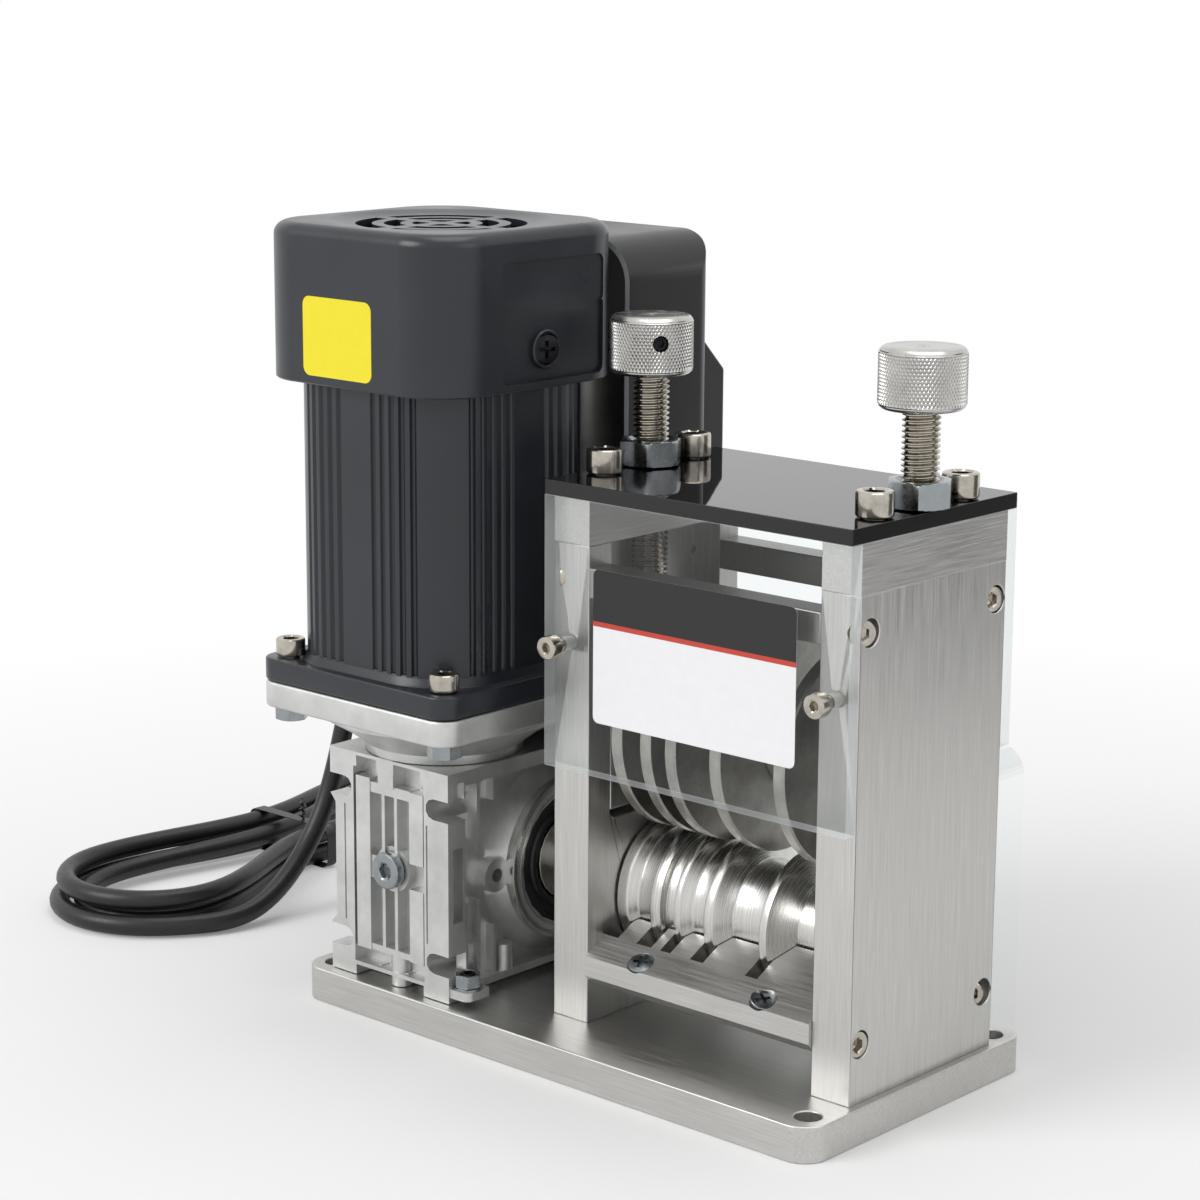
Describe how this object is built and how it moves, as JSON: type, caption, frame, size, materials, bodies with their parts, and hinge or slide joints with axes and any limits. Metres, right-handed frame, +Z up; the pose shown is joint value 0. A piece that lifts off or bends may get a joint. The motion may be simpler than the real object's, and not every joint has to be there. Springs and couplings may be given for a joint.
{
  "type": "wire stripping machine",
  "caption": "Motor-driven bench machine that feeds a cable over a grooved roller while blade discs on a height-adjustable carriage slit its sheath.",
  "frame": {"origin": "centre of the base plate's underside", "axes": "+Z up, +Y towards the rear, where the slit cable comes out, +X from the motor towards the head"},
  "size_m": [0.3877, 0.2405, 0.272],
  "materials": {
    "brushed_aluminium": "brushed with a long grain",
    "turned_aluminium": "bright turned",
    "cast_aluminium": "die cast, blasted",
    "gloss_black": "polished sheet",
    "clear_acrylic": "polished clear sheet",
    "ground_steel": "ground, lightly speckled",
    "nickel_steel": "nickel plated",
    "zinc_steel": "bright zinc plated",
    "motor_grey": "semi-matt paint on a casting",
    "black_paint": "satin powder coat",
    "black_rubber": "moulded",
    "black_plastic": "moulded, fine texture",
    "bronze": "machined"
  },
  "bodies": {
    "frame": {"base_plate": "brushed_aluminium", "left_side_plate": "brushed_aluminium", "right_side_plate": "brushed_aluminium", "left_top_bar": "brushed_aluminium", "right_top_bar": "brushed_aluminium", "front_tie_bar": "brushed_aluminium", "rear_tie_bar": "brushed_aluminium", "rear_lower_bar": "brushed_aluminium", "guide_comb": "brushed_aluminium", "gearbox_housing": "cast_aluminium", "hub_cover": "cast_aluminium", "motor_adaptor": "cast_aluminium", "capacitor": "cast_aluminium", "top_cover": "gloss_black", "front_shield": "clear_acrylic", "rear_shield": "clear_acrylic", "rear_guide_block": "clear_acrylic", "left_feed_bearing": "ground_steel", "right_feed_bearing": "ground_steel", "stator": "ground_steel", "cover_screw_1": "nickel_steel", "cover_screw_2": "nickel_steel", "cover_screw_3": "nickel_steel", "cover_screw_4": "nickel_steel", "left_shield_screw": "nickel_steel", "right_shield_screw": "nickel_steel", "motor_bolt_1": "nickel_steel", "motor_bolt_2": "nickel_steel", "motor_bolt_3": "nickel_steel", "motor_bolt_4": "nickel_steel", "oil_plug": "zinc_steel", "motor_body": "motor_grey", "fan_cowl": "motor_grey", "control_box": "black_paint", "output_seal": "black_rubber", "cable_gland": "black_rubber", "mains_cord": "black_rubber", "cord_hank": "black_rubber", "switch_housing": "black_plastic", "plug": "black_plastic"},
    "feed": {"feed_roller": "turned_aluminium", "worm_wheel": "bronze"},
    "drive": {"worm_shaft": "ground_steel", "rotor": "ground_steel", "cooling_fan": "black_plastic"},
    "carriage": {"left_bearing_block": "ground_steel", "right_bearing_block": "ground_steel"},
    "blades": {"blade_shaft": "ground_steel", "blade_1": "ground_steel", "blade_2": "ground_steel", "blade_3": "ground_steel", "blade_4": "ground_steel", "blade_5": "ground_steel"},
    "left_adjuster": {"left_adjuster_screw": "nickel_steel", "left_knob": "turned_aluminium"},
    "right_adjuster": {"right_adjuster_screw": "nickel_steel", "right_knob": "turned_aluminium"},
    "left_nut": {"left_lock_nut": "zinc_steel"},
    "right_nut": {"right_lock_nut": "zinc_steel"},
    "switch_rocker": {"rocker_switch": "black_plastic"}
  },
  "joints": [
    {"name": "motor_spin", "type": "hinge", "parent": "frame", "child": "drive", "pos_m": [-0.073, -0.0265, 0.15], "axis": [0, 0, 1], "continuous": true},
    {"name": "feed_roller_spin", "type": "hinge", "parent": "frame", "child": "feed", "pos_m": [0.048, 0.0035, 0.0523], "axis": [1, 0, 0], "continuous": true},
    {"name": "blade_carriage_lift", "type": "slide", "parent": "frame", "child": "carriage", "axis": [0, 0, 1], "range_m": [-0.001, 0.02]},
    {"name": "blade_spin", "type": "hinge", "parent": "carriage", "child": "blades", "pos_m": [0.048, 0.0035, 0.111], "axis": [1, 0, 0], "continuous": true},
    {"name": "left_adjuster_turn", "type": "hinge", "parent": "carriage", "child": "left_adjuster", "pos_m": [-0.0065, 0.0035, 0.2], "axis": [0, 0, 1], "range_deg": [-206, 4115]},
    {"name": "right_adjuster_turn", "type": "hinge", "parent": "carriage", "child": "right_adjuster", "pos_m": [0.1025, 0.0035, 0.2], "axis": [0, 0, 1], "range_deg": [-206, 4115]},
    {"name": "left_nut_turn", "type": "hinge", "parent": "frame", "child": "left_nut", "pos_m": [-0.0065, 0.0035, 0.1985], "axis": [0, 0, 1], "range_deg": [0, 180]},
    {"name": "right_nut_turn", "type": "hinge", "parent": "frame", "child": "right_nut", "pos_m": [0.1025, 0.0035, 0.1985], "axis": [0, 0, 1], "range_deg": [0, 180]},
    {"name": "rocker_tilt", "type": "hinge", "parent": "frame", "child": "switch_rocker", "pos_m": [-0.073, 0.0808, 0.168], "axis": [1, 0, 0], "range_deg": [-8, 8]}
  ],
  "couplings": [
    {"joint": "feed_roller_spin", "follows": "motor_spin", "ratio": 0.033333},
    {"joint": "left_adjuster_turn", "follows": "blade_carriage_lift", "rad_per_m": 3590.4},
    {"joint": "right_adjuster_turn", "follows": "blade_carriage_lift", "rad_per_m": 3590.4}
  ]
}
